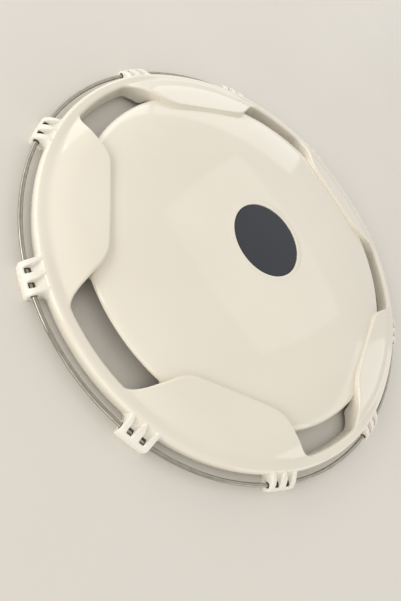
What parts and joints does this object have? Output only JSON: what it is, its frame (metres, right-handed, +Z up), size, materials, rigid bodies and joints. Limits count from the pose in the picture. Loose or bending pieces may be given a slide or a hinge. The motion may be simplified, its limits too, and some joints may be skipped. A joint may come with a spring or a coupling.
{
  "type": "wheel cover",
  "caption": "Domed round wheel cover with raised lobes, vent slots near its rim, a round badge and a spring wire ring held outside the rim by ten clips.",
  "frame": {"origin": "on the floor under the centre of the cover, at the level of the undersides of the ring clips", "axes": "+Z up out of the cover's face, along its axis; -Y through the middle of one vent slot; +X to the right of that slot seen from outside it"},
  "size_m": [0.3896, 0.383, 0.0298],
  "materials": {
    "cover_paint": "glossy cream paint on moulded plastic",
    "clip_nylon": "satin cream moulded nylon",
    "spring_steel": "drawn bright spring wire",
    "carrier_plastic": "black moulded plastic",
    "adhesive_foam": "closed-cell foam tape",
    "badge_vinyl": "dark blue-grey finely grained vinyl"
  },
  "bodies": {
    "cover": {"cover_shell": "cover_paint", "badge_carrier": "carrier_plastic", "badge_adhesive": "adhesive_foam", "badge_face": "badge_vinyl", "ring_clip_01": "clip_nylon", "ring_clip_02": "clip_nylon", "ring_clip_03": "clip_nylon", "ring_clip_04": "clip_nylon", "ring_clip_05": "clip_nylon", "ring_clip_06": "clip_nylon", "ring_clip_07": "clip_nylon", "ring_clip_08": "clip_nylon", "ring_clip_09": "clip_nylon", "ring_clip_10": "clip_nylon"},
    "ring": {"retaining_ring": "spring_steel"}
  },
  "joints": [
    {"name": "ring_turn", "type": "hinge", "parent": "cover", "child": "ring", "pos_m": [0, 0, 0.006], "axis": [0, 0, 1], "continuous": true}
  ]
}
